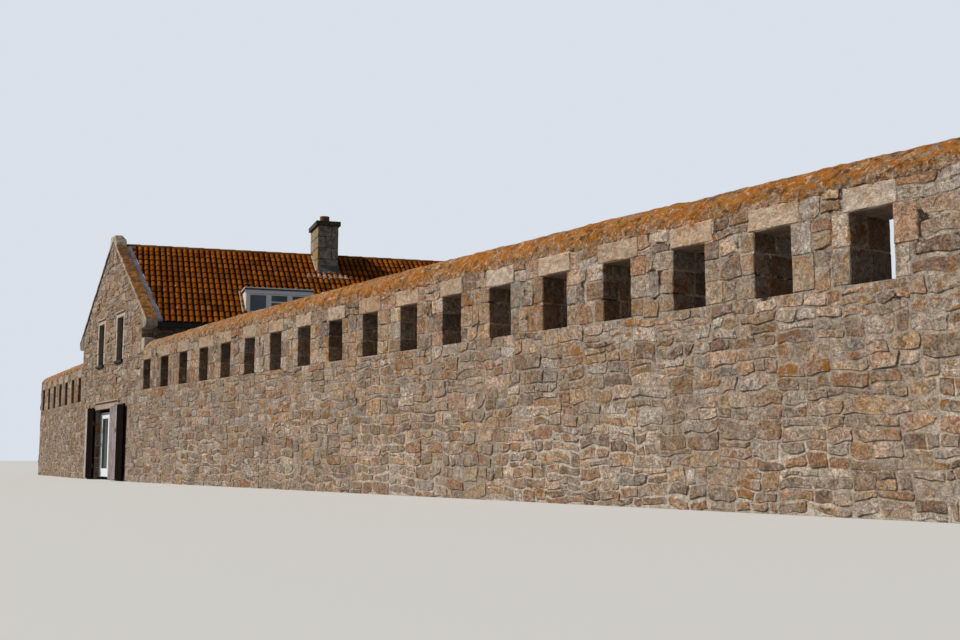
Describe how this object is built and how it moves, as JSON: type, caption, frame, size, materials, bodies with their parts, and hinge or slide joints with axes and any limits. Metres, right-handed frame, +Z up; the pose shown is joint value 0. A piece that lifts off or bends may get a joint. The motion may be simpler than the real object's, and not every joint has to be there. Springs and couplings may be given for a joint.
{
  "type": "loopholed coastal fort wall with gabled guardhouse",
  "caption": "Granite fort wall pierced by rectangular loopholes, running into a gabled stone guardhouse with a clay-tiled roof, dormer, chimney and glazed doorway",
  "frame": {"origin": "foot of the long wall's outer face, under the middle of the loophole next to the gable", "axes": "+X along the long wall away from the gable, +Y inland through the wall, +Z up"},
  "size_m": [39.9804, 11.4274, 8],
  "materials": {
    "rubble_granite": "rough rubble with sandy mortar",
    "dressed_granite": "tooled, weathered",
    "lichened_coping": "mortar weathering under orange lichen",
    "chimney_granite": "tooled blocks with grey and yellow lichen",
    "cast_lintel": "smooth cast stone",
    "floor_slab": "flagged",
    "floor_boards": "planed boards",
    "roof_tile": "matt orange-brown clay",
    "ridge_tile": "matt brown clay",
    "terracotta": "matt terracotta",
    "lead": "dull lead sheet",
    "black_gutter": "black",
    "white_boarding": "white paint",
    "roofing_felt": "dark mineral felt",
    "white_paint": "satin white paint",
    "window_glass": "clear",
    "slate_sill": "dark slate",
    "door_leaf": "satin white paint",
    "gate_boards": "weathered grey and dark boards",
    "iron": "rusted"
  },
  "bodies": {
    "root": {"long_wall_base": "rubble_granite", "long_wall_piers": "rubble_granite", "long_wall_lintels": "dressed_granite", "long_wall_head": "rubble_granite", "long_wall_coping": "lichened_coping", "left_wall_base": "rubble_granite", "left_wall_piers": "rubble_granite", "left_wall_lintels": "dressed_granite", "left_wall_head": "rubble_granite", "left_wall_coping": "lichened_coping", "return_wall": "rubble_granite", "front_gable_lower": "rubble_granite", "front_gable_band": "rubble_granite", "front_gable_piers": "rubble_granite", "front_gable_peak": "rubble_granite", "rear_gable_lower": "rubble_granite", "rear_gable_piers": "rubble_granite", "rear_gable_peak": "rubble_granite", "near_wall_base": "rubble_granite", "near_wall_piers": "rubble_granite", "near_wall_head": "rubble_granite", "far_wall_base": "rubble_granite", "far_wall_piers": "rubble_granite", "far_wall_head": "rubble_granite", "ground_floor": "floor_slab", "upper_floor": "floor_boards", "near_roof_slope": "roof_tile", "far_roof_slope": "roof_tile", "ridge_tiles": "ridge_tile", "gable_coping": "lichened_coping", "saddle_stones": "dressed_granite", "kneelers": "dressed_granite", "lead_flashings": "lead", "box_gutters": "black_gutter", "chimney_stack": "chimney_granite", "chimney_cap": "chimney_granite", "chimney_pot": "terracotta", "dormer_cheeks": "white_boarding", "dormer_roof": "roofing_felt", "dormer_window": "white_paint", "dormer_glass": "window_glass", "gable_window_lintels": "dressed_granite", "gable_window_sills": "slate_sill", "window_frames": "white_paint", "window_glass": "window_glass", "door_lintel": "cast_lintel", "door_frame": "white_paint", "folding_gate_leaves": "gate_boards", "gate_pintles": "iron"},
    "glazed_door": {"glazed_door": "door_leaf"},
    "left_gate_leaf": {"left_gate_leaf": "gate_boards"}
  },
  "joints": [
    {"name": "glazed_door_swing", "type": "hinge", "parent": "root", "child": "glazed_door", "pos_m": [-4.45705, 0.48081, 1], "axis": [0, 0, -1], "range_deg": [0, 90]},
    {"name": "left_gate_swing", "type": "hinge", "parent": "root", "child": "left_gate_leaf", "pos_m": [-5.46248, 0.28045, 1], "axis": [0, 0, 1], "range_deg": [0, 180]}
  ]
}
